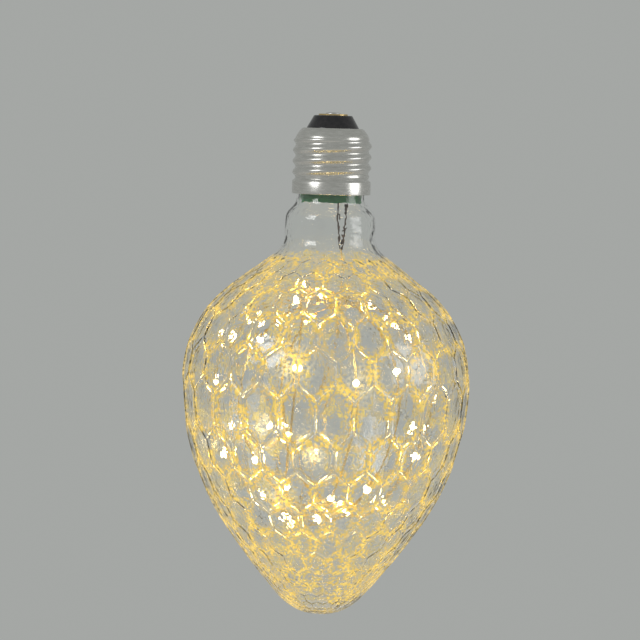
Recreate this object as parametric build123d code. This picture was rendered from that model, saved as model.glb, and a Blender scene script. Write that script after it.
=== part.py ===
from build123d import *
from math import acos, atan2, copysign, cos, pi, radians, sin, sqrt, tan
import os

# A clear decorative LED bulb with an E27 screw cap. The blown glass has the form of a strawberry and
# carries a honeycomb relief. A string of LEDs on two copper strands is wound loosely inside it.
# Millimetres, +Z up, cap on top as the bulb hangs. The origin is the flat top of the solder on the
# centre contact, where the bulb meets its lamp holder, and depths are counted down from there.
# Round pieces have flat sides, as many as the glass has cells round it, which keeps the facets few.

# Glass outline, measured over the ridges of the honeycomb
tip_depth = 167.7            # from the contact down to the tip of the glass
widest_radius = 48.0
widest_depth = 88.7
shoulder_radius = 38.8       # arc above the widest circle
shoulder_turn = 52.9         # degrees that it turns before the straight cone
flare_radius = 7.5           # hollow arc between the cone and the neck
neck_radius = 15.07
neck_top_gap = 8.6           # from the cap down to where the neck has its full width
neck_bend_radius = 5.0
mouth_radius = 11.6          # the end that stands in the cap
mouth_depth = 16.5
belly_turn = 34.0            # degrees that the arc below the widest circle turns
taper_radius = 222.0         # long arc from the belly to the rounded tip
tip_radius = 18.8
glass_wall = 1.2             # from the outline in to the inner corners; the flats make it 1.0 to 1.9

# Honeycomb relief
cells_round = 24
bend_steps = 2               # flat bands in each bend of the neck
flare_steps = 3
cell_pitch_ratio = 1.02      # height of a row over the width of its cells
belly_row_height = 16.0      # the one tall row, which starts at the widest circle
zigzag_ratio = 0.22          # half height of a zigzag line over the cell width
pattern_neck_gap = 0.75      # from the top of the cone out to the first cells
pattern_tip_radius = 5.5
pattern_turn = 3.6           # degrees from the front to the middle of a cell of the tall row

# Screw cap
cap_length = 27.0
skirt_radius = 13.1
skirt_length = 5.0
skirt_step = 1.0             # height of the step from the threaded wall out to the skirt
shell_wall = 0.3
thread_core_radius = 12.2    # outside of the shell between the threads
thread_crest = 0.93
thread_pitch = 3.629
thread_width = 2.5
thread_flat = 0.9            # width of the flat on the crest, in place of a rounded crest
thread_margin = 0.2          # plain wall above and below the thread
thread_fade = 4              # steps round the cap in which each end of the thread grows to its height
shell_cone_depth = 8.2       # where the threaded wall turns into the cone
shell_shoulder_depth = 5.6
shell_shoulder_radius = 10.4
shell_lip_depth = 5.2
shell_lip_radius = 8.8
solder_height = 0.5
solder_base_radius = 2.6
solder_flat_radius = 1.8
contact_radius = 4.9
contact_thickness = 0.5
eyelet_radius = 1.6
eyelet_length = 2.4
lead_hole_radius = 0.5
insulator_top_radius = 6.4
insulator_depth = 7.9        # underside of the insulator
cement_length = 3.8
seat_gap = 0.05              # clearance between pieces that seat on each other

# Driver board and what it carries
board_clearance = 0.15       # between the board's edges and the glass mouth
board_height = 15.5
board_thickness = 1.0
board_top_depth = 14.6
capacitor_radius = 3.6
capacitor_length = 9.5
capacitor_side = 4.6
bar_sides = 12               # flats round the capacitor and the choke
capacitor_inset = 1.2        # from the board's top edge down to the can
capacitor_lead_pitch = 2.5
capacitor_lead_drop = 1.6
capacitor_lead_bevel = 0.8
capacitor_edge = 0.4         # bevel of the can's rims
choke_radius = 3.0
choke_core_radius = 1.5
choke_flange = 1.0
choke_length = 6.5
choke_side = 5.4
choke_inset = 3.0
winding_inset = 0.35         # between the choke's winding and the rim of its core
bridge_size = (6.2, 2.0, 4.8)
bridge_side = 5.4
bridge_inset = 2.2
bridge_leg = (0.8, 0.3, 1.0)
bridge_leg_pitch = 4.0
chip_size = (4.9, 1.5, 3.9)
chip_side = 4.6
chip_inset = 5.0
chip_leg = (0.4, 0.25, 1.0)
chip_leg_pitch = 1.27
chip_legs = 4
sense_size = (3.2, 0.6, 1.6)
sense_inset = 11.5
resistor_radius = 1.3
resistor_length = 4.6
resistor_depth = 8.6
wire_radius = 0.25
wire_sides = 5               # flats round wires and small bars
lead_radius = 0.3
neutral_side = 7.5
neutral_rise = 3.6
neutral_bend_radius = 1.2
shell_solder_radius = 1.2
shell_solder_height = 1.1
shell_solder_taper = 26.0    # degrees

# String of LEDs
string_turns = 6.5           # loops in the winding
winding_neck_gap = 8.45      # from the top of the glass cone down to the winding
winding_tip_gap = 27.3       # from the winding down to the inside of the tip
winding_layer = 1.36         # each loop lies this much inside the last one
winding_twist = 25.85        # degrees that one loop turns against the last one
winding_start = 70.0         # degrees, direction of the first loop seen from above
winding_entry = 0.25         # turns of the first loop that the string skips from the top
loop_offset = 9.4            # the loops miss the axis by about this much
loop_wander = 0.85           # and by this much more or less
loop_wander_turns = 2.1      # turns from one wide loop to the next
loop_fullness = 0.44         # 1 is an oval, and less follows the glass more closely
string_wall_gap = 2.6        # from the middle of the string to the glass
run_length = 14.0            # of each straight run in the loops
strand_radius = 0.16
strand_spacing = 0.42
strand_sides = 4
lead_spread = 2.65           # between the two leads at the board
lead_side = 3.9
lead_straight = 5.2
lead_early = 0.65            # share of the way together that a lead has made half way down
lead_end_spread = 0.7
joint_gap = 0.05             # between a lead's end and its strand
joint_side = 3.85
lead_drop = 15.9             # from the board's lower edge down to the joint
arc_share = 0.45             # share of the shorter run beside a corner that its arc takes
first_bend = (0.4, 0.8, 4.5)     # from the joint to the string's first two bends: sideways,
second_bend = (2.0, 4.5, 11.5)   # to the back and down
led_runs = 3                 # runs from one LED to the next
led_first_run = 1            # run of the loops that carries the first LED
bead_radius = 1.3
bead_length = 3.2
bead_taper = 16.0
bead_sides = 6
diode_edge = 0.8
diode_height = 0.4
end_drop_radius = 0.7
end_drop_length = 2.2

# Arcs of the glass outline, their centres as (distance from the axis, height)
shoulder_angle = radians(shoulder_turn)
belly_angle = radians(belly_turn)
shoulder_centre = (widest_radius - shoulder_radius, -widest_depth)
cone_foot = (shoulder_centre[0] + shoulder_radius * cos(shoulder_angle),
             shoulder_centre[1] + shoulder_radius * sin(shoulder_angle))
cone_top_radius = neck_radius + flare_radius * (1 - cos(shoulder_angle))
cone_top_height = cone_foot[1] + (cone_foot[0] - cone_top_radius) / tan(shoulder_angle)
flare_centre = (neck_radius + flare_radius, cone_top_height + flare_radius * sin(shoulder_angle))
tip_centre = (0.0, tip_radius - tip_depth)
neck_top_depth = cap_length + neck_top_gap

# The belly arc meets the widest circle upright, and the taper arc touches both it and the tip arc. Its
# radius is the smaller root of this: the taper's centre lies its own radius less the tip's from tip_centre.
across = (widest_radius - taper_radius * cos(belly_angle), 1 - cos(belly_angle))
down = (taper_radius * sin(belly_angle) - widest_depth - tip_centre[1], sin(belly_angle))
square = across[1] ** 2 + down[1] ** 2
half = (across[0] * across[1] + down[0] * down[1]) / square
rest = (across[0] ** 2 + down[0] ** 2 - (taper_radius - tip_radius) ** 2) / square
belly_radius = half - sqrt(half ** 2 - rest)
belly_centre = (widest_radius - belly_radius, -widest_depth)
taper_centre = (belly_centre[0] + (belly_radius - taper_radius) * cos(belly_angle),
                belly_centre[1] - (belly_radius - taper_radius) * sin(belly_angle))
tip_angle = atan2(taper_centre[1] - tip_centre[1], -taper_centre[0])
bend_angle = acos(1 - (neck_radius - mouth_radius) / 2 / neck_bend_radius)
mouth_bend_height = -neck_top_depth + 2 * neck_bend_radius * sin(bend_angle)
belly_run = belly_radius * belly_angle
taper_run = belly_run + taper_radius * (tip_angle - belly_angle)
shoulder_run = shoulder_radius * shoulder_angle


def arc_points(centre, radius, start, end, steps):
    """Points along an arc from angle start to angle end, in radians."""
    turns = [start + (end - start) * step / steps for step in range(steps + 1)]
    return [(centre[0] + radius * cos(turn), centre[1] + radius * sin(turn)) for turn in turns]


def neck_outline(inset):
    """Corners of the neck from the mouth down to the top of the cone, moved inwards by inset."""
    upper = arc_points((mouth_radius + neck_bend_radius, mouth_bend_height), neck_bend_radius + inset,
                       pi, pi + bend_angle, bend_steps)
    lower = arc_points((neck_radius - neck_bend_radius, -neck_top_depth), neck_bend_radius - inset,
                       bend_angle, 0, bend_steps)
    flare = arc_points(flare_centre, flare_radius + inset, pi, pi + shoulder_angle, flare_steps)
    return [(mouth_radius - inset, -mouth_depth)] + upper + lower[1:] + flare


def outline(run, inset=0.0):
    """Point of the glass below the neck, run millimetres along it below the widest circle."""
    if run < -shoulder_run:
        rise = -run - shoulder_run
        return (cone_foot[0] - rise * sin(shoulder_angle) - inset * cos(shoulder_angle),
                cone_foot[1] + rise * cos(shoulder_angle) - inset * sin(shoulder_angle))
    if run < 0:
        centre, radius, angle = shoulder_centre, shoulder_radius, run / shoulder_radius
    elif run < belly_run:
        centre, radius, angle = belly_centre, belly_radius, run / belly_radius
    elif run < taper_run:
        centre, radius, angle = taper_centre, taper_radius, belly_angle + (run - belly_run) / taper_radius
    else:
        centre, radius, angle = tip_centre, tip_radius, tip_angle + (run - taper_run) / tip_radius
    return (centre[0] + (radius - inset) * cos(angle), centre[1] - (radius - inset) * sin(angle))


def inner_radius(height):
    """Distance from the axis to the inside of the glass below the cone's top."""
    low, high = -shoulder_run * 2, taper_run + tip_radius * (pi / 2 - tip_angle)
    for _ in range(40):
        middle = (low + high) / 2
        low, high = (middle, high) if outline(middle, glass_wall)[1] > height else (low, middle)
    return outline(low, glass_wall)[0]


def cell_width(run):
    return 2 * pi * outline(run)[0] / cells_round


def row_lines():
    """Middle heights of the zigzag lines between the rows, from the neck to the tip."""
    lines = [0.0, belly_row_height]
    while True:
        step = cell_pitch_ratio * cell_width(lines[0])
        if outline(lines[0] - step - zigzag_ratio * step)[0] < cone_top_radius + pattern_neck_gap:
            break
        lines.insert(0, lines[0] - step)
    while True:
        step = cell_pitch_ratio * cell_width(lines[-1])
        if outline(lines[-1] + step + zigzag_ratio * step)[0] < pattern_tip_radius:
            break
        lines.append(lines[-1] + step)
    return lines


lines = row_lines()
halves = [zigzag_ratio * cell_width(run) for run in lines]
belly_row = lines.index(0.0)
neck_turn = radians(pattern_turn - 90) - pi * (belly_row % 2) / cells_round


def ring(point, step, sides=cells_round):
    """Corner of a ring round the axis, from a (distance, height). The corners of all rings line up."""
    turn = neck_turn + 2 * pi * step / sides
    return Vector(point[0] * cos(turn), point[0] * sin(turn), point[1])


def flat(*corners):
    return Face(Wire.make_polygon(corners, close=True))


def closed(faces):
    """Solid inside faces that meet edge to edge."""
    body = Solid(Shell(faces))
    return body if body.volume > 0 else -body


def bands(points, sides=cells_round):
    """Flat faces round the axis between neighbouring points of (distance, height)."""
    faces = []
    for start, end in zip(points, points[1:]):
        for step in range(sides):
            corners = [ring(start, step, sides)]
            corners += [ring(end, step, sides), ring(end, step + 1, sides)] if end[0] else [ring(end, 0)]
            if start[0]:
                corners.append(ring(start, step + 1, sides))
            faces.append(flat(*corners))
    return faces


def turned(points, sides=cells_round):
    """Flat-sided solid turned round the axis, from the corners of its outline. An outline that meets the
    axis starts and ends there, and any other is closed back to its first corner."""
    return closed(bands(points if points[0][0] == 0 else points + points[:1], sides))


def honeycomb():
    """Faces of the relief. Each cell is a flat panel with a flat gable above and below, and the cells
    of each row stand over the joints of the next."""
    faces = []
    for row in range(len(lines) - 1):
        shift = row % 2 / 2
        upper_run, lower_run = lines[row] + halves[row], lines[row + 1] - halves[row + 1]
        for cell in range(cells_round):
            upper = [ring(outline(upper_run), cell + shift + side) for side in (-0.5, 0.5)]
            lower = [ring(outline(lower_run), cell + shift + side) for side in (-0.5, 0.5)]
            faces.append(flat(upper[0], lower[0], lower[1], upper[1]))
            faces.append(flat(ring(outline(lines[row] - halves[row]), cell + shift), *upper))
            faces.append(flat(ring(outline(lines[row + 1] + halves[row + 1]), cell + shift), *lower))
    return faces


def zigzag_edge(row, crown, shift):
    """Triangles that fill a zigzag line up to a plain ring. crown is -1 at the neck and 1 at the tip."""
    outer, inner = lines[row] + crown * halves[row], lines[row] - crown * halves[row]
    return [flat(ring(outline(outer), cell + shift), ring(outline(outer), cell + shift + 1),
                 ring(outline(inner), cell + shift + 0.5)) for cell in range(cells_round)]


def glass_envelope():
    """The blown glass in one closed skin: from the tip over the relief and the neck to the mouth, and
    back inside, where the wall has a ring at each line of the relief."""
    last_shift = len(lines) % 2 / 2
    foot = outline(lines[-1] + halves[-1])
    faces = honeycomb() + zigzag_edge(0, -1, 0) + zigzag_edge(-1, 1, last_shift)
    for cell in range(cells_round):
        faces.append(flat(ring(foot, cell + last_shift), ring(foot, cell + last_shift + 1),
                          ring((0, -tip_depth), 0)))
    inside = [outline(run, glass_wall) for run in lines] + [(0, glass_wall - tip_depth)]
    neck = neck_outline(0)[::-1] + neck_outline(glass_wall)
    faces += bands([outline(lines[0] - halves[0])] + neck + inside)
    return closed(faces)


def shell_outline():
    """Outside and inside corners of the screw shell, from its lip down to the skirt."""
    step_depth = cap_length - skirt_length
    outside = [(shell_lip_radius, -shell_lip_depth), (shell_shoulder_radius, -shell_shoulder_depth),
               (thread_core_radius, -shell_cone_depth), (thread_core_radius, -step_depth),
               (skirt_radius, -step_depth - skirt_step), (skirt_radius, -cap_length)]
    inside = [(distance - shell_wall, height) for distance, height in outside]
    for corner in range(3):
        inside[corner] = (inside[corner][0], inside[corner][1] - shell_wall)
    inside[0] = (shell_lip_radius, inside[0][1])
    return outside, inside


def skin(loops, twisted=False):
    """Faces between neighbouring loops of corners and over both ends. Twisted strips are cut in two."""
    faces = [flat(*loops[0]), flat(*loops[-1])]
    for first, second in zip(loops, loops[1:]):
        for corner in range(len(first)):
            following = (corner + 1) % len(first)
            strip = [first[corner], first[following], second[following], second[corner]]
            if twisted:
                faces += [flat(*strip[:3]), flat(strip[0], *strip[2:])]
            else:
                faces.append(flat(*strip))
    return faces


def screw_shell():
    """Thin pressed shell with its right-hand thread, which grows from the wall at both ends."""
    outside, inside = shell_outline()
    low = -(cap_length - skirt_length) + thread_width / 2 + thread_margin
    high = -shell_cone_depth - thread_width / 2 - thread_margin
    steps = int((high - low) / thread_pitch * cells_round)
    root = thread_core_radius - shell_wall / 2
    loops = []
    for step in range(steps + 1):
        grown = min(1, (step + 1) / thread_fade, (steps - step + 1) / thread_fade)
        crest = thread_core_radius + thread_crest * grown
        height = low + thread_pitch * step / cells_round
        loops.append([ring((distance, height + half), step) for distance, half in
                      ((root, -thread_width / 2), (crest, -thread_flat / 2),
                       (crest, thread_flat / 2), (root, thread_width / 2))])
    return turned(outside + inside[::-1]) + closed(skin(loops, twisted=True))


def cap_insulator():
    _, inside = shell_outline()
    top = -(solder_height + contact_thickness)
    bore = eyelet_radius + seat_gap
    collar = shell_lip_radius - seat_gap
    flange_top = inside[1][1] - seat_gap
    slope = (inside[2][0] - inside[1][0]) / (inside[1][1] - inside[2][1])
    floor_radius = inside[1][0] + slope * (inside[1][1] + insulator_depth) - seat_gap
    return turned([(bore, top), (insulator_top_radius, top), (collar, -shell_lip_depth),
                   (collar, flange_top), (inside[1][0] - seat_gap, flange_top),
                   (floor_radius, -insulator_depth), (bore, -insulator_depth)])


def centre_contact():
    top = -solder_height
    under = top - contact_thickness
    return turned([(lead_hole_radius, top), (contact_radius, top), (contact_radius, under),
                   (eyelet_radius, under), (eyelet_radius, under - eyelet_length),
                   (lead_hole_radius, under - eyelet_length)])


def contact_solder():
    return turned([(0, 0), (solder_flat_radius, 0), (solder_base_radius, -solder_height),
                   (0, -solder_height)])


def neck_cement():
    bore = mouth_radius + seat_gap
    outer = skirt_radius - shell_wall - seat_gap
    return turned([(bore, -cap_length), (outer, -cap_length), (outer, cement_length - cap_length),
                   (bore, cement_length - cap_length)])


def upright(radius, top, bottom, sides, side=0.0, front=0.0):
    """Flat-sided bar along Z between two depths."""
    return Pos(side, front, -bottom) * extrude(RegularPolygon(radius, sides), bottom - top)


def wire_along(path, radius):
    """Wire with flat sides, and a mitre at each corner of its path."""
    section = Plane(path @ 0, z_dir=path % 0) * RegularPolygon(radius, wire_sides)
    return sweep(section, path=path, transition=Transition.RIGHT)


def block(size, side, front, middle_depth):
    """Box with its middle at side and middle_depth, and its face nearest the board at front."""
    return Pos(side, front, -middle_depth) * Box(*size)


board_bottom_depth = board_top_depth + board_height
board_front = -board_thickness / 2


def driver_board():
    bore = (mouth_radius - glass_wall) * cos(pi / cells_round)
    width = 2 * (sqrt(bore ** 2 - board_front ** 2) - board_clearance)
    return block((width, board_thickness, board_height), 0, 0, board_top_depth + board_height / 2)


def fusible_resistor():
    """Resistor in the live line: its upper lead passes the eyelet, its lower one ends on the board."""
    body = upright(resistor_radius, resistor_depth, resistor_depth + resistor_length, bar_sides)
    return body + upright(wire_radius, solder_height, board_top_depth, wire_sides)


def smoothing_capacitor():
    """Can that lies on the board's front, with two leads that bend back to it over a short bevel."""
    top = board_top_depth + capacitor_inset
    bottom = top + capacitor_length
    front = board_front - seat_gap - capacitor_radius
    can = upright(capacitor_radius, top, bottom, bar_sides, -capacitor_side, front)
    can = chamfer((can.faces().sort_by(Axis.Z)[0] + can.faces().sort_by(Axis.Z)[-1]).edges(), capacitor_edge)
    elbow = -bottom - capacitor_lead_drop
    for side in (-1, 1):
        x = -capacitor_side + side * capacitor_lead_pitch / 2
        path = Polyline((x, front, wire_radius - bottom), (x, front, elbow + capacitor_lead_bevel),
                        (x, front + capacitor_lead_bevel, elbow), (x, board_front, elbow))
        can += wire_along(path, wire_radius)
    return can


choke_front = board_front - seat_gap - choke_radius
choke_top = board_top_depth + choke_inset


def choke_core():
    low, high = choke_flange, choke_length - choke_flange
    core = turned([(0, 0), (choke_radius, 0), (choke_radius, low), (choke_core_radius, low),
                   (choke_core_radius, high), (choke_radius, high), (choke_radius, choke_length),
                   (0, choke_length)], bar_sides)
    return Pos(choke_side, choke_front, -choke_top - choke_length) * core


def choke_winding():
    low, high = choke_flange + seat_gap, choke_length - choke_flange - seat_gap
    bore, outer = choke_core_radius + seat_gap, choke_radius - winding_inset
    coil = turned([(bore, low), (outer, low), (outer, high), (bore, high)], bar_sides)
    return Pos(choke_side, choke_front, -choke_top - choke_length) * coil


def legged(size, leg, pitch, count, side, middle_depth):
    """Moulded body on the board's back with legs above and below."""
    back = board_thickness / 2
    body = block(size, side, back + size[1] / 2, middle_depth)
    body = chamfer(body.faces().sort_by(Axis.Y)[-1].edges(), leg[1])
    for number in range(count):
        x = side + (number - (count - 1) / 2) * pitch
        for end in (-1, 1):
            depth = middle_depth + end * (size[2] + leg[2]) / 2
            body += block((leg[0], leg[1], leg[2]), x, back + leg[1] / 2, depth)
    return body


def bridge_rectifier():
    return legged(bridge_size, bridge_leg, bridge_leg_pitch, 2, bridge_side,
                  board_top_depth + bridge_inset + bridge_size[2] / 2)


def driver_chip():
    return legged(chip_size, chip_leg, chip_leg_pitch, chip_legs, -chip_side,
                  board_top_depth + chip_inset + chip_size[2] / 2)


def sense_resistor():
    return block(sense_size, bridge_side, board_thickness / 2 + sense_size[1] / 2,
                 board_top_depth + sense_inset)


shell_flat = (thread_core_radius - shell_wall) * cos(pi / cells_round)
solder_wall = sqrt(shell_flat ** 2 - shell_solder_radius ** 2) - seat_gap
neutral_height = neutral_rise - board_top_depth


def neutral_lead():
    """Wire from the board's top edge to the solder on the shell's wall."""
    corner = (-neutral_side, 0, neutral_height)
    path = FilletPolyline([(-neutral_side, 0, -board_top_depth), corner,
                           (shell_solder_height - solder_wall, 0, neutral_height)],
                          radius=neutral_bend_radius)
    return wire_along(path, lead_radius)


def shell_solder():
    drop = extrude(RegularPolygon(shell_solder_radius, bar_sides), shell_solder_height,
                   taper=shell_solder_taper)
    return Pos(-solder_wall, 0, neutral_height) * Rot(0, 90, 0) * drop


joint_depth = board_bottom_depth + lead_drop


def arc_radii(points):
    """Tangent arc for each corner of a route: arc_share of the shorter run over tan(half the turn)."""
    radii = []
    for before, corner, after in zip(points, points[1:], points[2:]):
        first, second = Vector(*corner) - Vector(*before), Vector(*after) - Vector(*corner)
        half_turn = radians(first.get_angle(second)) / 2
        radii.append(arc_share * min(first.length, second.length) / tan(half_turn))
    return radii


def string_lead(hand):
    """Insulated lead from the board's lower edge to the joint with its copper strand."""
    start = lead_side + hand * lead_spread / 2
    end = joint_side + hand * lead_end_spread / 2
    middle = start + (end - start) * lead_early
    drop = joint_depth - board_bottom_depth - lead_straight
    points = [(start, 0, -board_bottom_depth), (start, 0, -board_bottom_depth - lead_straight),
              (middle, 0, -joint_depth + drop / 2), (end, 0, joint_gap - joint_depth)]
    path = FilletPolyline(points, radius=arc_radii(points))
    return wire_along(path, lead_radius)


winding_top = cone_top_height - winding_neck_gap
winding_foot = glass_wall + winding_tip_gap - tip_depth
winding_middle = (winding_top + winding_foot) / 2


def winding(turns):
    """Point of the string after a number of turns of the winding. Each loop is tall and near the glass,
    lies inside the last one and is turned against it, so that none of them touch."""
    inwards = winding_layer * turns
    drop = ((winding_top - winding_foot) / 2 - inwards) * cos(2 * pi * turns)
    offset = loop_offset + loop_wander * sin(2 * pi * turns / loop_wander_turns)
    room = sqrt((inner_radius(winding_middle + drop) - string_wall_gap - inwards) ** 2 - offset ** 2)
    swing = sin(2 * pi * turns)
    reach = copysign(room * abs(swing) ** loop_fullness, swing)
    heading = radians(winding_start + winding_twist * turns)
    return Vector(reach * cos(heading) - offset * sin(heading),
                  reach * sin(heading) + offset * cos(heading), winding_middle + drop)


def loop_points():
    """Points of the winding that lie run_length apart."""
    turns = winding_entry
    points = [winding(turns)]
    while turns < string_turns:
        low, high = turns, turns + winding_entry
        for _ in range(40):
            middle = (low + high) / 2
            near = (winding(middle) - points[-1]).length < run_length
            low, high = (middle, high) if near else (low, middle)
        turns = low
        points.append(winding(turns))
    return points


lead_in = [Vector(joint_side + side, back, -joint_depth - down)
           for side, back, down in ((0, 0, 0), first_bend, second_bend)]
route = lead_in + loop_points()
headings = [(after - before).normalized() for before, after in zip(route, route[1:])]


def string_sides():
    """Direction across the pair of strands in each run, carried over each corner without a twist."""
    sides = [headings[0].cross(Vector(0, 1, 0)).normalized()]
    for before, after in zip(headings, headings[1:]):
        mitre = (before + after).normalized()
        sides.append(sides[-1] - mitre * (2 * sides[-1].dot(mitre)))
    return sides


across_pair = string_sides()


def string_strand(hand):
    """One enamelled copper strand along the whole string, with a mitre at each corner of the route."""
    last = len(headings) - 1
    loops = []
    for number, place in enumerate(route):
        heading, side = headings[min(number, last)], across_pair[min(number, last)]
        mitre = heading + headings[number - 1] if 0 < number <= last else heading
        if number == 0:
            mitre = Vector(0, 0, -1)
        loop = []
        for corner in range(strand_sides):
            turn = 2 * pi * corner / strand_sides
            offset = side * (hand * strand_spacing / 2 + strand_radius * cos(turn))
            offset += heading.cross(side) * (strand_radius * sin(turn))
            loop.append(place + offset - heading * (offset.dot(mitre) / heading.dot(mitre)))
        loops.append(loop)
    return closed(skin(loops))


def led_planes():
    """Where the LEDs sit, each in the middle of a run: X lies across the strands and Z along them."""
    first = len(lead_in) + led_first_run
    return [Plane((route[run] + route[run + 1]) / 2, x_dir=across_pair[run], z_dir=headings[run])
            for run in range(first, len(headings), led_runs)]


def diode_block():
    middle = strand_radius + seat_gap + diode_height / 2
    return Pos(0, middle, 0) * Box(diode_edge, diode_height, diode_edge)


def resin_beads():
    """Drops of clear resin, tapered to both ends, round the strands and over the diodes."""
    half = extrude(RegularPolygon(bead_radius, bead_sides), bead_length / 2, taper=bead_taper)
    bead = half + mirror(half, Plane.XY)
    bead -= Box(strand_spacing + 2 * (strand_radius + seat_gap), 2 * (strand_radius + seat_gap), bead_length)
    bead -= diode_block()
    return Compound([(plane * bead).solid() for plane in led_planes()])


def led_chips():
    return Compound([(plane * diode_block()).solid() for plane in led_planes()])


def string_end():
    """Drop of resin that closes the end of the string."""
    end = Plane(route[-1], x_dir=across_pair[-1], z_dir=headings[-1])
    return end * extrude(RegularPolygon(end_drop_radius, bead_sides), end_drop_length, taper=bead_taper / 2)


nodes = {
    "glass_envelope": glass_envelope(),
    "screw_shell": screw_shell(),
    "cap_insulator": cap_insulator(),
    "centre_contact": centre_contact(),
    "contact_solder": contact_solder(),
    "neck_cement": neck_cement(),
    "driver_board": driver_board(),
    "fusible_resistor": fusible_resistor(),
    "smoothing_capacitor": smoothing_capacitor(),
    "choke_core": choke_core(),
    "choke_winding": choke_winding(),
    "bridge_rectifier": bridge_rectifier(),
    "driver_chip": driver_chip(),
    "sense_resistor": sense_resistor(),
    "neutral_lead": neutral_lead(),
    "shell_solder": shell_solder(),
    "string_lead_positive": string_lead(-1),
    "string_lead_negative": string_lead(1),
    "string_strand_positive": string_strand(-1),
    "string_strand_negative": string_strand(1),
    "led_chips": led_chips(),
    "resin_beads": resin_beads(),
    "string_end": string_end(),
}

os.makedirs("parts", exist_ok=True)
for name, shape in nodes.items():
    export_step(shape, f"parts/{name}.step")

turns = [before.get_angle(after) for before, after in zip(headings, headings[1:])]
runs = [(after - before).length for before, after in zip(route, route[1:])]
print("rows of cells:", len(lines) - 1, "LEDs:", len(led_planes()))
print("string:", round(sum(runs)), "mm long, longest run", round(max(runs), 1), "mm, sharpest corner",
      round(max(turns), 1), "degrees")
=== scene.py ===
# %% [markdown]
# A clear decorative LED bulb. The glass is blown in a honeycomb mould in the form of a strawberry, and a
# string of tiny LEDs on two enamelled copper strands is wound loosely inside it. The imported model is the
# fixed frame: the surfaces made here stand in for its solids, in metres, +Z up, with the origin on the
# solder of the centre contact.

# %% Load the frame
import bmesh
import bpy
import numpy as np
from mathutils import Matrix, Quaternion, Vector


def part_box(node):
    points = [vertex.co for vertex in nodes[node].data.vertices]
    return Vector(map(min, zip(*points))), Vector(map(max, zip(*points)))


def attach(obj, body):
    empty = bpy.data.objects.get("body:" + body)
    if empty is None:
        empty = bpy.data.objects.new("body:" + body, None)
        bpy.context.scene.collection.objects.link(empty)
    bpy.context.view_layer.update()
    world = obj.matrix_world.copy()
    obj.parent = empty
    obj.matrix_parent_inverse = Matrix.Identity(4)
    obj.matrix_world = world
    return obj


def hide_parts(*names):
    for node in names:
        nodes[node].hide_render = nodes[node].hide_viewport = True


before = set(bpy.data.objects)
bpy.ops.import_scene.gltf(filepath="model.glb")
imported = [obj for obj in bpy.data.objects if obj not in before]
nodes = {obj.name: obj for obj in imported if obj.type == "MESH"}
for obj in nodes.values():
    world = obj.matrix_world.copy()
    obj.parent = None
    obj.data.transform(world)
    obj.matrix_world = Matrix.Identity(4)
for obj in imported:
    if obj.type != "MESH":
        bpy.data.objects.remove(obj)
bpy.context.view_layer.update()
mm = 0.001

# %% [markdown]
# The photograph looks at the bulb almost level, from less than a metre and with a long lens. The bulb hangs
# a little askew there. It can't be turned here, so the camera is rolled the other way instead, and it
# is tipped down towards the glass rather than shifted, so that the other views stay centred.

# %% Camera
camera_place = Vector((-2.7, -890.0, -2.5)) * mm
camera_aim = Vector((-2.5, 0.0, -69.0)) * mm
camera_roll = np.radians(1.6)
camera_lens = 150.8
camera = bpy.data.objects.new("camera", bpy.data.cameras.new("camera"))
bpy.context.collection.objects.link(camera)
camera.data.lens = camera_lens
camera.location = camera_place
camera.rotation_mode = "QUATERNION"
level = (camera_aim - camera_place).to_track_quat("-Z", "Y")
camera.rotation_quaternion = level @ Quaternion((0, 0, 1), camera_roll)
bpy.context.scene.camera = camera
bpy.context.scene.view_settings.view_transform = "Standard"
print("camera to aim:", round((camera_aim - camera_place).length, 3), "m")

# %% [markdown]
# The backdrop is a plain grey. A sheet of paper could stand behind the bulb, but it would need lamps of its
# own, and clear glass shows whatever is behind it from every side. So the world is the backdrop: rays that
# the camera, a gloss or a glass sends out meet an even grey, and all others take a soft white light from it.

# %% Backdrop
backdrop_grey = (0.375, 0.388, 0.375, 1)
sky_white = (1, 0.99, 0.97, 1)
sky_strength = 0.7


def maths(tree, operation, first, second):
    """Result of an operation on a socket and a socket or number."""
    made = tree.nodes.new("ShaderNodeMath")
    made.operation = operation
    tree.links.new(first, made.inputs[0])
    if isinstance(second, (int, float)):
        made.inputs[1].default_value = second
    else:
        tree.links.new(second, made.inputs[1])
    return made.outputs[0]


def seen_rays(tree):
    """1 for rays of the camera, or from a gloss or through glass, and 0 for rays that carry light."""
    path = tree.nodes.new("ShaderNodeLightPath").outputs
    camera_or_gloss = maths(tree, "MAXIMUM", path["Is Camera Ray"], path["Is Glossy Ray"])
    return maths(tree, "MAXIMUM", camera_or_gloss, path["Is Transmission Ray"])


def mixed(tree, share, first, second, end):
    """Shader that goes from first to second as share goes from 0 to 1, sent to the node at the tree's end."""
    mixer = tree.nodes.new("ShaderNodeMixShader")
    tree.links.new(share, mixer.inputs["Fac"])
    tree.links.new(first.outputs[0], mixer.inputs[1])
    tree.links.new(second.outputs[0], mixer.inputs[2])
    tree.links.new(mixer.outputs[0], tree.nodes[end].inputs["Surface"])


world = bpy.data.worlds.new("studio")
bpy.context.scene.world = world
world.use_nodes = True
sky = world.node_tree.nodes["Background"]
sky.inputs["Color"].default_value = sky_white
sky.inputs["Strength"].default_value = sky_strength
shown = world.node_tree.nodes.new("ShaderNodeBackground")
shown.inputs["Color"].default_value = backdrop_grey
mixed(world.node_tree, seen_rays(world.node_tree), sky, shown, "World Output")
print("backdrop:", backdrop_grey[:3])

# %% [markdown]
# The floor is a wide square of pale paper well below the tip. An edge or a horizon would show through the
# glass, so the paper turns into the grey of the backdrop further out, by the distance from its middle.

# %% Floor
floor_height = -0.30
floor_reach = 6.0
paper_near, paper_far = 0.15, 0.6
paper_colour, paper_roughness = (0.6, 0.6, 0.58, 1), 0.9


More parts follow.
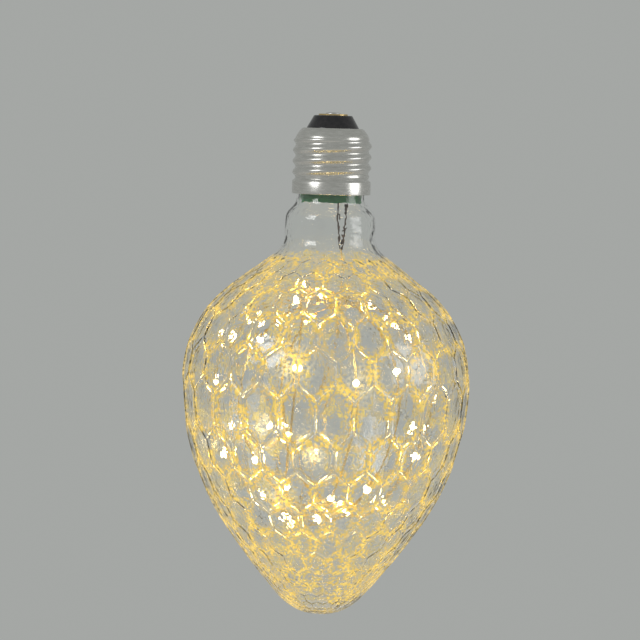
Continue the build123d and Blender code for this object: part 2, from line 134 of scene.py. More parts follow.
def spread(tree, value, low, high):
    """value from low to high, mapped to 0 to 1 and held there."""
    spread_node = tree.nodes.new("ShaderNodeMapRange")
    spread_node.inputs["From Min"].default_value = low
    spread_node.inputs["From Max"].default_value = high
    tree.links.new(value, spread_node.inputs["Value"])
    return spread_node.outputs["Result"]


floor_mesh = bpy.data.meshes.new("floor")
floor_corners = np.array([(-1, -1, 0), (1, -1, 0), (1, 1, 0), (-1, 1, 0)]) * floor_reach
floor_mesh.from_pydata((floor_corners + (0, 0, floor_height)).tolist(), [], [(0, 1, 2, 3)])
floor = bpy.data.objects.new("floor", floor_mesh)
bpy.context.collection.objects.link(floor)
paper = bpy.data.materials.new("pale_paper")
paper.use_nodes = True
tree = paper.node_tree
matt = tree.nodes["Principled BSDF"]
matt.inputs["Base Color"].default_value = paper_colour
matt.inputs["Roughness"].default_value = paper_roughness
even = tree.nodes.new("ShaderNodeEmission")
even.inputs["Color"].default_value = backdrop_grey
place = tree.nodes.new("ShaderNodeTexCoord").outputs["Object"]
level_place = tree.nodes.new("ShaderNodeVectorMath")
level_place.operation = "MULTIPLY"
level_place.inputs[1].default_value = (1, 1, 0)
tree.links.new(place, level_place.inputs[0])
from_axis = tree.nodes.new("ShaderNodeVectorMath")
from_axis.operation = "LENGTH"
tree.links.new(level_place.outputs["Vector"], from_axis.inputs[0])
outwards = spread(tree, from_axis.outputs["Value"], paper_near, paper_far)
mixed(tree, maths(tree, "MULTIPLY", outwards, seen_rays(tree)), matt, even, "Material Output")
floor.data.materials.append(paper)
print("floor at", floor_height, "m")

# %% [markdown]
# The two pale patches on the belly are a window to the left and a weaker one to the right. A square lamp
# gives such a patch, where a point lamp would leave a hard dot. Both stand high, outside the picture.

# %% Lamps
def softbox(name, lamp_place, size, power):
    """Square lamp that faces the middle of the glass."""
    lamp = bpy.data.lights.new(name, "AREA")
    lamp.size = size
    lamp.energy = power
    stand = bpy.data.objects.new(name, lamp)
    bpy.context.collection.objects.link(stand)
    stand.location = lamp_place
    stand.rotation_mode = "QUATERNION"
    stand.rotation_quaternion = (camera_aim - Vector(lamp_place)).to_track_quat("-Z", "Y")


softbox("window_left", lamp_place=(-0.9, -0.7, 0.5), size=0.5, power=3.5)
softbox("window_right", lamp_place=(1.0, -0.3, 0.25), size=0.6, power=2.5)
print("lamps:", len(bpy.data.lights))

# %% [markdown]
# Every finish is a Principled shader, because each real surface here is a plain dielectric or a metal. An
# even colour would look like plastic, so one noise on the object's own coordinates varies its colour and
# roughness, and a second, four times as fine, tilts its normal: nothing that was cast, plated or dipped is
# perfectly even. Values that are the same all over are set on the shader's own sockets.

# %% One finish
mottle_low, mottle_high = 0.3, 0.7
mottle_detail, pore_detail = 4, 3
pores_in_grain = 4


def two_colours(tree, share, first, second):
    """Colour that turns from first to second as share goes from 0 to 1."""
    ramp = tree.nodes.new("ShaderNodeValToRGB")
    ramp.color_ramp.elements[0].color = first
    ramp.color_ramp.elements[1].color = second
    tree.links.new(share, ramp.inputs["Fac"])
    return ramp.outputs["Color"]


def noise(tree, place, size, detail):
    """Noise at a place, in patches of about that size, with that many finer noises on it."""
    made = tree.nodes.new("ShaderNodeTexNoise")
    made.inputs["Scale"].default_value = 1 / size
    made.inputs["Detail"].default_value = detail
    tree.links.new(place, made.inputs["Vector"])
    return made.outputs["Fac"]


def tilt_normal(tree, shader, height, distance):
    """Tilt the shader's normal as a relief of that height over that distance would."""
    raised = tree.nodes.new("ShaderNodeBump")
    raised.inputs["Distance"].default_value = distance
    tree.links.new(height, raised.inputs["Height"])
    tree.links.new(raised.outputs["Normal"], shader.inputs["Normal"])


def finish(name, first, second, grain, roughness, bump=0.0, stretch=(1, 1, 1), **even_values):
    """Material whose colour goes from first to second, and its roughness through its range, with a noise of
    that grain in metres. stretch squeezes the noise along X, Y and Z."""
    made = bpy.data.materials.new(name)
    made.use_nodes = True
    tree = made.node_tree
    shader = tree.nodes["Principled BSDF"]
    drawn = tree.nodes.new("ShaderNodeMapping")
    drawn.inputs["Scale"].default_value = stretch
    tree.links.new(tree.nodes.new("ShaderNodeTexCoord").outputs["Object"], drawn.inputs["Vector"])
    mottle = noise(tree, drawn.outputs["Vector"], grain, mottle_detail)
    share = spread(tree, mottle, mottle_low, mottle_high)
    tree.links.new(two_colours(tree, share, (*first, 1), (*second, 1)), shader.inputs["Base Color"])
    rubbed = tree.nodes.new("ShaderNodeMapRange")
    rubbed.inputs["To Min"].default_value, rubbed.inputs["To Max"].default_value = roughness
    tree.links.new(mottle, rubbed.inputs["Value"])
    tree.links.new(rubbed.outputs["Result"], shader.inputs["Roughness"])
    if bump:
        pores = noise(tree, drawn.outputs["Vector"], grain / pores_in_grain, pore_detail)
        tilt_normal(tree, shader, pores, bump)
    for socket, value in even_values.items():
        shader.inputs[socket.replace("_", " ")].default_value = value
    return made


print("colours of a finish turn where its noise goes from", mottle_low, "to", mottle_high)

# %% [markdown]
# The cap is bright plated steel that was drawn and rolled, so its mottle runs round it. The contact is brass
# with a dull drop of solder. The strands are copper under a yellowish enamel, which a clear coat over a
# golden metal gives, and the choke is wound with plain red copper.

# %% Finishes of the metals
plated_steel = finish("plated_steel", (0.62, 0.61, 0.58), (0.74, 0.73, 0.70), grain=2.5 * mm,
                      roughness=(0.16, 0.34), bump=0.01 * mm, stretch=(1, 1, 5), Metallic=1.0)
contact_brass = finish("contact_brass", (0.60, 0.43, 0.18), (0.72, 0.55, 0.26), grain=1.0 * mm,
                       roughness=(0.2, 0.4), bump=0.01 * mm, Metallic=1.0)
soft_solder = finish("soft_solder", (0.55, 0.55, 0.56), (0.72, 0.72, 0.73), grain=0.8 * mm,
                     roughness=(0.25, 0.5), bump=0.04 * mm, Metallic=1.0)
wound_copper = finish("wound_copper", (0.45, 0.17, 0.06), (0.75, 0.36, 0.16), grain=0.25 * mm,
                      roughness=(0.25, 0.4), bump=0.03 * mm, stretch=(0.1, 0.1, 4), Metallic=1.0)
enamelled_copper = finish("enamelled_copper", (0.80, 0.58, 0.20), (0.94, 0.75, 0.36), grain=1.2 * mm,
                          roughness=(0.18, 0.34), bump=0.005 * mm, Metallic=1.0, Coat_Weight=0.6,
                          Coat_Roughness=0.1)
print("finishes with the metals:", len(bpy.data.materials))

# %% [markdown]
# The other parts are moulded, dipped or fired: a black glass bead that insulates the contact, pale cement, a
# green board, coated and moulded components, and dark sleeves on the leads. The chip of an LED is covered
# with yellow phosphor, and glows.

# %% Finishes of coats and mouldings
black_glass = finish("black_glass", (0.008, 0.008, 0.01), (0.02, 0.018, 0.02), grain=1.5 * mm,
                     roughness=(0.08, 0.25), bump=0.02 * mm)
baked_cement = finish("baked_cement", (0.55, 0.49, 0.38), (0.68, 0.62, 0.50), grain=0.7 * mm,
                      roughness=(0.8, 0.95), bump=0.08 * mm)
green_laminate = finish("green_laminate", (0.03, 0.16, 0.07), (0.05, 0.24, 0.10), grain=0.6 * mm,
                        roughness=(0.3, 0.5), bump=0.01 * mm)
resistor_coat = finish("resistor_coat", (0.10, 0.22, 0.20), (0.16, 0.32, 0.28), grain=0.9 * mm,
                       roughness=(0.3, 0.5), bump=0.02 * mm)
capacitor_sleeve = finish("capacitor_sleeve", (0.02, 0.03, 0.05), (0.05, 0.06, 0.09), grain=2.0 * mm,
                          roughness=(0.25, 0.4), bump=0.01 * mm)
pressed_ferrite = finish("pressed_ferrite", (0.03, 0.03, 0.03), (0.08, 0.075, 0.07), grain=0.4 * mm,
                         roughness=(0.6, 0.8), bump=0.03 * mm)
moulded_epoxy = finish("moulded_epoxy", (0.015, 0.015, 0.016), (0.04, 0.04, 0.042), grain=0.3 * mm,
                       roughness=(0.5, 0.7), bump=0.01 * mm)
lead_sleeve = finish("lead_sleeve", (0.03, 0.02, 0.016), (0.09, 0.06, 0.045), grain=0.6 * mm,
                     roughness=(0.3, 0.5), bump=0.01 * mm)
lit_chip = finish("lit_chip", (0.9, 0.7, 0.2), (1.0, 0.8, 0.3), grain=0.3 * mm, roughness=(0.4, 0.6),
                  Emission_Color=(1.0, 0.76, 0.40, 1), Emission_Strength=40.0)
print("finishes in all:", len(bpy.data.materials))

# %% [markdown]
# The glass is clear soda glass, which a Principled shader with full transmission gives. A mould leaves it
# slightly wavy. Modelled waves would cost many faces and hardly show, so a wide low noise tilts the normal.

# %% Clear wavy glass
wave_size, wave_height = 4.5 * mm, 0.3 * mm
most_roughness = 1 / 30
blown_glass = bpy.data.materials.new("blown_glass")
blown_glass.use_nodes = True
glass_tree = blown_glass.node_tree
clear = glass_tree.nodes["Principled BSDF"]
clear.inputs["Transmission Weight"].default_value = 1.0
clear.inputs["IOR"].default_value = 1.5
glass_place = glass_tree.nodes.new("ShaderNodeTexCoord").outputs["Object"]
waves = noise(glass_tree, glass_place, wave_size, 2)
tilt_normal(glass_tree, clear, waves, wave_height)
glass_tree.links.new(maths(glass_tree, "MULTIPLY", waves, most_roughness), clear.inputs["Roughness"])
print("glass is wavy over", round(wave_size / mm, 1), "mm")

# %% [markdown]
# The ridges gather the light of the LEDs and pass it on as golden flecks, and the glass in front of an LED
# shines. Path tracing finds such light only by luck, so the finish paints it on: the mesh carries how
# strongly each point near a ridge is lit, and how near an LED stands. A fine noise cuts both into flecks, and
# a wide one leaves whole cells clear. The painted flecks colour the clear glass amber, as amber light is, and
# glow softly, and the painted halo round each LED glows too.

# %% Painted golden glints
fleck_size, fleck_low, fleck_high = 1.1 * mm, 0.45, 0.55
patch_size, patch_low, patch_high = 9.0 * mm, 0.36, 0.53
least_gold = 0.10
clear_tint, painted_glint_gold = (0.985, 0.99, 0.98, 1), (0.94, 0.55, 0.04, 1)
gold_light = (1.0, 0.76, 0.24, 1)
painted_glint_colour_gain, glint_strength, halo_strength = 1.8, 0.46, 4.0


def attribute(tree, name):
    """Value that a piece's mesh carries at its points."""
    held = tree.nodes.new("ShaderNodeAttribute")
    held.attribute_name = name
    return held.outputs["Fac"]


# Painted light: the flecks, glints and halo below are drawn onto the clear glass, not lit by the LEDs.
flecks = spread(glass_tree, noise(glass_tree, glass_place, fleck_size, 3), fleck_low, fleck_high)
patches = spread(glass_tree, noise(glass_tree, glass_place, patch_size, 1), patch_low, patch_high)
lit_ridge = maths(glass_tree, "MULTIPLY", patches, attribute(glass_tree, "ridge_light"))
glint = maths(glass_tree, "MULTIPLY", maths(glass_tree, "MAXIMUM", flecks, least_gold), lit_ridge)
halo = maths(glass_tree, "MULTIPLY", flecks, attribute(glass_tree, "led_halo"))
# Painted glints: where they lie, the clear glass's colour is painted amber and it is given a golden glow.
painted_glint_share = maths(glass_tree, "MULTIPLY", glint, painted_glint_colour_gain)
painted_glint_colour = two_colours(glass_tree, painted_glint_share, clear_tint, painted_glint_gold)
glass_tree.links.new(painted_glint_colour, clear.inputs["Base Color"])
glint_glow = maths(glass_tree, "MULTIPLY", glint, glint_strength)
halo_glow = maths(glass_tree, "MULTIPLY", halo, halo_strength)
glow = maths(glass_tree, "ADD", glint_glow, halo_glow)
glass_tree.links.new(glow, clear.inputs["Emission Strength"])
clear.inputs["Emission Color"].default_value = gold_light
print("flecks of", round(fleck_size / mm, 1), "mm in patches of", round(patch_size / mm, 1), "mm")

# %% [markdown]
# The light of a lamp can't find its way through glass by chance, and everything in the bulb would stand in a
# black shadow. So the glass counts as clear air for the rays that test whether a lamp is in sight.

# %% Glass that lets the lamps through
path = glass_tree.nodes.new("ShaderNodeLightPath").outputs
air = glass_tree.nodes.new("ShaderNodeBsdfTransparent")
mixed(glass_tree, path["Is Shadow Ray"], clear, air, "Material Output")
print("glass has", len(glass_tree.nodes), "shader nodes")

# %% [markdown]
# All new pieces are grids: a table of points with rows along the piece and columns round it. Two neighbouring
# rows and two neighbouring columns bound one face. With rows going down and columns anticlockwise seen from
# above, each face looks outwards. Points that coincide, as at a pole, are merged, which closes the piece.

# %% From grids to pieces
sharp_edge = np.radians(32)
merge_distance = 0.0005 * mm


def grid_faces(rows, columns):
    """Four corners of each face, where the last column joins the first."""
    row, column = np.meshgrid(np.arange(rows - 1), np.arange(columns), indexing="ij")
    after = (column + 1) % columns
    here, below = row * columns, (row + 1) * columns
    return np.stack([here + column, below + column, below + after, here + after], axis=-1).reshape(-1, 4)


def piece(name, grids, material, slot, *stands_for, **marks):
    """Mesh piece from grids of points, each (rows, columns, 3), that takes the place of nodes of the frame.
    marks are values for its material, one for each point."""
    points = np.concatenate([grid.reshape(-1, 3) for grid in grids])
    starts = np.cumsum([0] + [grid.shape[0] * grid.shape[1] for grid in grids])
    faces = np.concatenate([grid_faces(*grid.shape[:2]) + start for grid, start in zip(grids, starts)])
    mesh = bpy.data.meshes.new(name)
    mesh.from_pydata(points.tolist(), [], faces.tolist())
    for mark, values in marks.items():
        held = mesh.attributes.new(mark, "FLOAT", "POINT")
        held.data.foreach_set("value", np.asarray(values, np.float32).ravel())
    merged = bmesh.new()
    merged.from_mesh(mesh)
    bmesh.ops.remove_doubles(merged, verts=merged.verts, dist=merge_distance)
    merged.to_mesh(mesh)
    merged.free()
    mesh.polygons.foreach_set("use_smooth", np.ones(len(mesh.polygons), bool))
    mesh.set_sharp_from_angle(angle=sharp_edge)
    mesh.materials.append(material)
    made = bpy.data.objects.new(name, mesh)
    bpy.context.collection.objects.link(made)
    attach(made, "root")
    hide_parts(*stands_for)
    print(name, len(mesh.polygons), "faces")


def even_turns(count):
    """That many angles, evenly round the axis."""
    return 2 * np.pi * np.arange(count) / count


def turned_grid(profile, turns):
    """Grid of a profile of (distance from the axis, height) at each angle in turns."""
    profile = np.asarray(profile, float)
    around = np.stack([np.cos(turns), np.sin(turns)], axis=-1)
    grid = np.empty((len(profile), len(turns), 3))
    grid[..., :2] = profile[:, None, :1] * around
    grid[..., 2] = profile[:, None, 1]
    return grid


# %% [markdown]
# The outline of the glass could be a smooth curve through points, but a mould maker draws arcs that run into
# each other, with a straight cone at the shoulder, and arcs never bulge between points. The greatest radius
# and the depth come from the frame, and the rest follows from a few radii.

# %% Measures of the glass
glass_low, glass_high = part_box("glass_envelope")
widest_radius = (glass_high[0] - glass_low[0]) / 2
tip_depth = -glass_low[2]
mouth_depth = -glass_high[2]
widest_depth = 88.7 * mm
shoulder_radius = 38.8 * mm
shoulder_angle = np.radians(52.9)
flare_radius = 7.5 * mm
neck_radius = 15.0 * mm
neck_top_depth = 35.6 * mm
neck_bend_radius = 5.0 * mm
mouth_radius = 11.55 * mm
belly_angle = np.radians(34.0)
taper_radius = 222.0 * mm
tip_radius = 18.8 * mm
glass_wall = 1.2 * mm
print("glass radius", round(widest_radius / mm, 2), "mm, depth of the tip", round(tip_depth / mm, 2), "mm")

# %% [markdown]
# Each arc starts where the one before it ends, in the same direction. The belly arc leaves the widest circle
# straight down, and the long taper arc touches both it and the tip arc. The belly's radius isn't free, then:
# it is the smaller root of a square equation, which says that the taper's centre lies the taper's radius
# less the tip's from the tip's centre.

# %% Arcs of the outline
def direction(angle):
    """Unit step outwards and down at an angle below the level."""
    return np.array([np.cos(angle), -np.sin(angle)])


shoulder_centre = np.array([widest_radius - shoulder_radius, -widest_depth])
cone_foot = shoulder_centre + shoulder_radius * direction(-shoulder_angle)
cone_top_radius = neck_radius + flare_radius * (1 - np.cos(shoulder_angle))
cone_top_height = cone_foot[1] + (cone_foot[0] - cone_top_radius) / np.tan(shoulder_angle)
flare_centre = np.array([neck_radius + flare_radius, cone_top_height + flare_radius * np.sin(shoulder_angle)])
tip_centre = np.array([0.0, tip_radius - tip_depth])
widest_point = np.array([widest_radius, -widest_depth])
fixed_part = widest_point - taper_radius * direction(belly_angle) - tip_centre
growing_part = direction(belly_angle) - (1, 0)
square = growing_part @ growing_part
half = -(fixed_part @ growing_part) / square
rest = (fixed_part @ fixed_part - (taper_radius - tip_radius) ** 2) / square
belly_radius = half - np.sqrt(half ** 2 - rest)
belly_centre = np.array([widest_radius - belly_radius, -widest_depth])
taper_centre = belly_centre + (belly_radius - taper_radius) * direction(belly_angle)
tip_angle = np.arctan2(taper_centre[1] - tip_centre[1], -taper_centre[0])
print("belly radius", round(belly_radius / mm, 1), "mm")

# %% [markdown]
# A point of the outline is named by its run: the length along it, counted from the widest circle, downwards
# to the tip and, below nothing, upwards to the shoulder and its cone. With lengths in place of heights,
# cells of one size are easy to set off, and the steep belly gets as many points as the flat tip.

# %% Points of the outline
shoulder_run = shoulder_radius * shoulder_angle
cone_run = (cone_foot[0] - cone_top_radius) / np.sin(shoulder_angle)
belly_run = belly_radius * belly_angle
taper_run = belly_run + taper_radius * (tip_angle - belly_angle)
tip_run = taper_run + tip_radius * (np.pi / 2 - tip_angle)


def outline(run, inset=0.0):
    """Distance from the axis and height. On an arc it is the arc's centre plus its radius, less the inset, in
    the direction of the arc's angle. On the cone it is the cone's foot plus a step along its slope."""
    run = np.asarray(run, float)
    arcs = [run < 0, run < belly_run, run < taper_run]
    centres = [shoulder_centre, belly_centre, taper_centre]
    across = np.select(arcs, [centre[0] for centre in centres], tip_centre[0])
    up = np.select(arcs, [centre[1] for centre in centres], tip_centre[1])
    radius = np.select(arcs, [shoulder_radius, belly_radius, taper_radius], tip_radius)
    taper_turn = belly_angle + (run - belly_run) / taper_radius
    tip_turn = tip_angle + (run - taper_run) / tip_radius
    angle = np.select(arcs, [run / shoulder_radius, run / belly_radius, taper_turn], tip_turn)
    rise = -run - shoulder_run
    cone_across = cone_foot[0] - rise * np.sin(shoulder_angle) - inset * np.cos(shoulder_angle)
    cone_up = cone_foot[1] + rise * np.cos(shoulder_angle) - inset * np.sin(shoulder_angle)
    distance = np.where(rise > 0, cone_across, across + (radius - inset) * np.cos(angle))
    height = np.where(rise > 0, cone_up, up - (radius - inset) * np.sin(angle))
    return distance, height


print("outline from the widest circle to the tip", round(tip_run / mm, 1), "mm")

# %% [markdown]
# Above the cone the glass flares into a plain neck, and an S bend narrows it to the mouth, which the cap
# holds. None of it carries cells, so it is a profile of arcs that is carried round the axis.

# %% Neck
bend_points, flare_points = 5, 10


def arc(centre, radius, start, end, count):
    """Points of an arc between two angles."""
    turn = np.linspace(start, end, count)
    return np.stack([centre[0] + radius * np.cos(turn), centre[1] + radius * np.sin(turn)], axis=-1)


def neck_profile(inset):
    """From the mouth in the cap down to the top of the cone: a lip, an S bend, the neck and its flare."""
    bend = np.arccos(1 - (neck_radius - mouth_radius) / 2 / neck_bend_radius)
    upper_centre = mouth_radius + neck_bend_radius, 2 * neck_bend_radius * np.sin(bend) - neck_top_depth
    lower_centre = neck_radius - neck_bend_radius, -neck_top_depth
    upper = arc(upper_centre, neck_bend_radius + inset, np.pi, np.pi + bend, bend_points)
    lower = arc(lower_centre, neck_bend_radius - inset, bend, 0, bend_points)
    flare = arc(flare_centre, flare_radius + inset, np.pi, np.pi + shoulder_angle, flare_points)
    return np.concatenate([[(mouth_radius - inset, -mouth_depth)], upper, lower[1:], flare])


print("neck profile has", len(neck_profile(0.0)), "points")

# %% [markdown]
# The honeycomb is pressed into the hot glass by the mould: thin crisp ridges stand round gently dished cells.
# As many cells stand in every row, so they are widest at the belly, and each row is as tall as its own cells
# ask. Only the row under the widest circle is taller. A zigzag line runs between each two rows.

# %% Rows of the honeycomb
cells_round = 24
cell_pitch_ratio = 1.02
belly_row_height = 16.0 * mm
zigzag_ratio = 0.22
pattern_neck_gap = 0.75 * mm
pattern_tip_radius = 5.5 * mm


def cell_width(run):
    """Width of a cell at a run: one share of the way round."""
    return 2 * np.pi * outline(run)[0] / cells_round


def row_lines():
    """Runs of the zigzag lines: one tall row below the widest circle, and from there rows in proportion to
    their cells, up to the neck and down to the tip."""
    found = [0.0, belly_row_height]
    while True:
        step = cell_pitch_ratio * cell_width(found[0])
        if outline(found[0] - (1 + zigzag_ratio) * step)[0] < cone_top_radius + pattern_neck_gap:
            break
        found.insert(0, found[0] - step)
    while True:
        step = cell_pitch_ratio * cell_width(found[-1])
        if outline(found[-1] + (1 + zigzag_ratio) * step)[0] < pattern_tip_radius:
            break
        found.append(found[-1] + step)
    return np.array(found)


lines = row_lines()
halves = zigzag_ratio * cell_width(lines)
print("rows of cells:", len(lines) - 1, "cell width at the belly:", round(cell_width(0.0) / mm, 2), "mm")

# %% [markdown]
# A texture alone would leave the edge of the bulb plain, and the ridges are what bends the light of the
# string into sparks, so the relief is real. An even grid would need a million faces to keep a ridge crisp.
# Here the rows of the grid follow the zigzag lines, and rows and columns gather at the cells' sides.

# %% Columns of the honeycomb
pattern_turn = np.radians(3.6)
steps_in_half_cell = 8


def gathered(count):
    """Shares from 0 to 1 that lie close together near both ends: half evenly turned, half turned twice."""
    once = (1 - np.cos(np.pi * np.arange(count + 1) / count)) / 2
    return (once + (1 - np.cos(np.pi * once)) / 2) / 2


belly_row = int(np.argmin(np.abs(lines)))
first_turn = pattern_turn - np.pi / 2 - np.pi * (belly_row % 2) / cells_round
half_cell = gathered(steps_in_half_cell)[:-1] / 2
steps = (np.arange(2 * cells_round)[:, None] / 2 + half_cell).ravel()
turns = first_turn + 2 * np.pi * steps / cells_round


def from_middle(row):
    """Steps from each column to the middle of its cell, in that row of cells."""
    return np.abs((steps - row[..., None] % 2 / 2 + 0.5) % 1 - 0.5)


def zigzag(row):
    """Run of a zigzag line at each column: highest over the middles of the cells under it."""
    return lines[row][..., None] + halves[row][..., None] * (4 * from_middle(row) - 1)


print("columns:", len(turns))

# %% [markdown]
# Every point of the grid knows its distance from the nearest ridge, which gives both its depth and its share
# of the painted golden glints. The grid ends in plain rows that close the tip, as the mould leaves it smooth.

# %% Relief of the honeycomb
steps_in_row = 10
tip_steps = 8
ridge_height, ridge_reach, dish_depth = 0.028, 0.075, 0.012  # shares of the width of a cell
glint_reach = 2.8 * mm
tip_glints = 0.5


def relief_grid():
    """Outside of the glass, and how near a ridge each point is. A point's depth under the outline grows from
    nothing on a ridge: steeply over the ridge's reach, as one less the square of what is left of it, and
    then as a shallow bowl to the cell's middle."""
    row = np.repeat(np.arange(len(lines) - 1), steps_in_row)
    part = np.tile(gathered(steps_in_row)[:-1], len(lines) - 1)[:, None]
    top, foot = zigzag(row), zigzag(row + 1)
    run = top + part * (foot - top)
    width = cell_width(run)
    slope = np.cos(np.arctan(4 * zigzag_ratio))
    side = (0.5 - from_middle(row)) * width
    edge = np.minimum(side, np.minimum(run - top, foot - run) * slope)
    ridge = 1 - (1 - np.minimum(edge / (ridge_reach * width), 1)) ** 2
    bowl = 1 - (1 - np.minimum(2 * edge / width, 1)) ** 2
    depth = width * (ridge_height * ridge + dish_depth * bowl)
    last = zigzag(np.array(len(lines) - 1))
    below = last + np.linspace(0, 1, tip_steps + 1)[:, None] * (tip_run - last)
    distance, height = outline(np.concatenate([run, below]), np.concatenate([depth, 0 * below]))
    distance[-1] = 0
    near_ridge = 1 - np.minimum(edge / glint_reach, 1) ** 2
    near_ridge = np.concatenate([near_ridge, tip_glints + 0 * below])
    return np.stack([distance * np.cos(turns), distance * np.sin(turns), height], axis=-1), near_ridge


relief, near_ridge = relief_grid()
print("grid of the outside:", relief.shape[:2])

# %% [markdown]
# The string is a springy pair of enamelled wires that was pushed in through the neck, so it stands in tall
# loops against the glass. A simulation would never stop in the same place as the solids, so the loops are
# worked out in their way: a point goes up and down once for each loop, near the wall, while the loop slowly
# turns and steps inwards. Two given points bring the string from the leads into the first loop.

# %% Winding of the string
string_turns = 6.5
winding_top = cone_top_height - 8.45 * mm
winding_foot = glass_wall + 27.3 * mm - tip_depth
winding_middle = (winding_top + winding_foot) / 2
winding_layer = 1.36 * mm
winding_twist = np.radians(25.85)
winding_start = np.radians(70.0)
winding_entry = 0.25
loop_offset = 9.4 * mm
loop_wander = 0.85 * mm
loop_wander_turns = 2.1
loop_fullness = 0.44
string_wall_gap = 2.6 * mm
joint = np.array([3.85, 0.0, -46.0]) * mm
lead_in = joint + np.array([(0, 0, 0), (0.4, 0.8, -4.5), (2.0, 4.5, -11.5)]) * mm
wall_samples = 4000
wall_distance, wall_height = outline(np.linspace(-2 * shoulder_run, tip_run, wall_samples), glass_wall)


def winding(turn):
    """Point of the string after a number of turns: its height swings as a cosine, and its reach as a root
    of a sine."""
    inwards = winding_layer * turn
    drop = ((winding_top - winding_foot) / 2 - inwards) * np.cos(2 * np.pi * turn)
    offset = loop_offset + loop_wander * np.sin(2 * np.pi * turn / loop_wander_turns)
    inner = np.interp(-(winding_middle + drop), -wall_height, wall_distance)
    room = np.sqrt((inner - string_wall_gap - inwards) ** 2 - offset ** 2)
    swing = np.sin(2 * np.pi * turn)
    reach = np.sign(swing) * room * np.abs(swing) ** loop_fullness
    heading = winding_start + winding_twist * turn
    return np.array([reach * np.cos(heading) - offset * np.sin(heading),
                     reach * np.sin(heading) + offset * np.cos(heading), winding_middle + drop])


print("string winds from", round(winding_top, 4), "to", round(winding_foot, 4), "m")

# %% [markdown]
# The solids carry an LED on every third straight run of the string, and all runs but the first few are
# equally long. The points are found here in the same way, one run apart. But the solids were wound in a
# glass of their nominal radius, 48 mm, and the box of their flat-sided glass gives 0.16 mm less. So this
# route drifts from theirs, by 0.2 mm at the first LED and 3.6 mm at the last, and ends one run earlier. The
# two strands lie side by side, and that side is mirrored at each corner, so they never twist.

# %% Route of the string
run_length = 14.0 * mm
halvings = 40
led_runs, led_first_run = 3, 1


def loop_points():
    """Points of the winding that lie one run apart, each found by halving the stretch that holds it."""
    turn = winding_entry
    found = [winding(turn)]
    while turn < string_turns:
        low, high = turn, turn + winding_entry
        for _ in range(halvings):
            middle = (low + high) / 2
            near = np.linalg.norm(winding(middle) - found[-1]) < run_length
            low, high = (middle, high) if near else (low, middle)
        turn = low
        found.append(winding(turn))
    return np.array(found)


def unit(vectors):
    """Vectors of the same directions, one long."""
    return vectors / np.linalg.norm(vectors, axis=-1, keepdims=True)


def string_sides(headings):
    """Direction across the pair in each run, mirrored at each corner so that the pair never twists."""
    sides = [unit(np.cross(headings[0], (0, 1, 0)))]
    for before, after in zip(headings, headings[1:]):
        mitre = unit(before + after)
        sides.append(sides[-1] - mitre * 2 * (sides[-1] @ mitre))
    return np.array(sides)


route = np.concatenate([lead_in, loop_points()])
headings = unit(np.diff(route, axis=0))
sides = string_sides(headings)
led_at = np.arange(len(lead_in) + led_first_run, len(headings), led_runs)
led_places = (route[led_at] + route[led_at + 1]) / 2
print("runs:", len(headings), "LEDs:", len(led_at))

# %% [markdown]
# With the LEDs in place the glass can be made. It is one closed skin: from its mouth in the cap down the
# outside over the relief to the tip, and back up inside, where blown glass is smooth. Each point also
# carries its light twice, to be painted on: with a long reach for the painted flecks on the ridges, and with
# a short one for the painted shine round each LED.

# %% Honeycomb glass
light_reach, halo_reach = 23 * mm, 4.6 * mm
inside_rows = 34


def led_light(points, reach):
    """Light of the LEDs at each point: for each LED 1 / (1 + its distance in reaches to the sixth), added up
    and held under 1."""
    total = np.zeros(points.shape[:-1])
    for led in led_places:
        total += 1 / (1 + (np.linalg.norm(points - led, axis=-1) / reach) ** 6)
    return np.clip(total, 0, 1)


above = turned_grid(neck_profile(0.0), turns)
inside_runs = np.linspace(-shoulder_run - cone_run, tip_run, inside_rows)
inside_profile = np.stack(outline(inside_runs[1:], glass_wall), axis=-1)
inside_profile[-1, 0] = 0
inside = turned_grid(np.concatenate([neck_profile(glass_wall), inside_profile])[::-1], turns)
lip = turned_grid([(mouth_radius - glass_wall, -mouth_depth), (mouth_radius, -mouth_depth)], turns)
skin = np.concatenate([above, relief, inside, lip])
ridge_light = np.zeros(skin.shape[:2])
ridge_light[len(above):len(above) + len(relief)] = near_ridge
ridge_light *= led_light(skin, light_reach)
piece("honeycomb_glass", [np.concatenate([above, relief]), inside, lip], blown_glass, "clear_glass",
      "glass_envelope", ridge_light=ridge_light, led_halo=led_light(skin, halo_reach))

# %% [markdown]
# Wire bends in smooth curves, where the solids have straight runs with mitred corners. A bevelled curve
# object would do, but its rings could turn against each other, and the pair has to stay side by side. So a
# smooth curve is worked out that touches each run in its middle, where the LEDs sit, and rings round it
# keep to one side direction.

# %% Smooth wire
samples_in_bend = 8


def smooth_route(points):
    """Smooth curve of a route. Round each inner point it is the blend (1-t)^2 A + 2t(1-t) B + t^2 C of the
    middle of the run before, the point itself and the middle of the run after, and both ends are straight.
    Returns the places and the share of the way along, in runs."""
    middles = (points[1:] + points[:-1]) / 2
    t = np.linspace(0, 1, samples_in_bend, endpoint=False)[:, None]
    before, after = middles[:-1, None], middles[1:, None]
    bends = (1 - t) ** 2 * before + 2 * t * (1 - t) * points[1:-1, None] + t ** 2 * after
    curve = np.concatenate([points[:1], bends.reshape(-1, 3), middles[-1:], points[-1:]])
    along = np.concatenate([[0], (np.arange(len(bends))[:, None] + t.T).ravel(), [len(bends), len(bends)]])
    return curve, along


def tube(curve, across, radius, columns):
    """Round tube of rings square to the path, with a point at both ends."""
    ahead = unit(np.gradient(curve, axis=0))
    across = unit(across - ahead * np.sum(across * ahead, axis=-1, keepdims=True))
    other = np.cross(across, ahead)
    turn = even_turns(columns)[:, None]
    rings = curve[:, None] + radius * (np.cos(turn) * across[:, None] + np.sin(turn) * other[:, None])
    first, last = np.broadcast_to(curve[0], rings[:1].shape), np.broadcast_to(curve[-1], rings[:1].shape)
    return np.concatenate([first, rings, last])


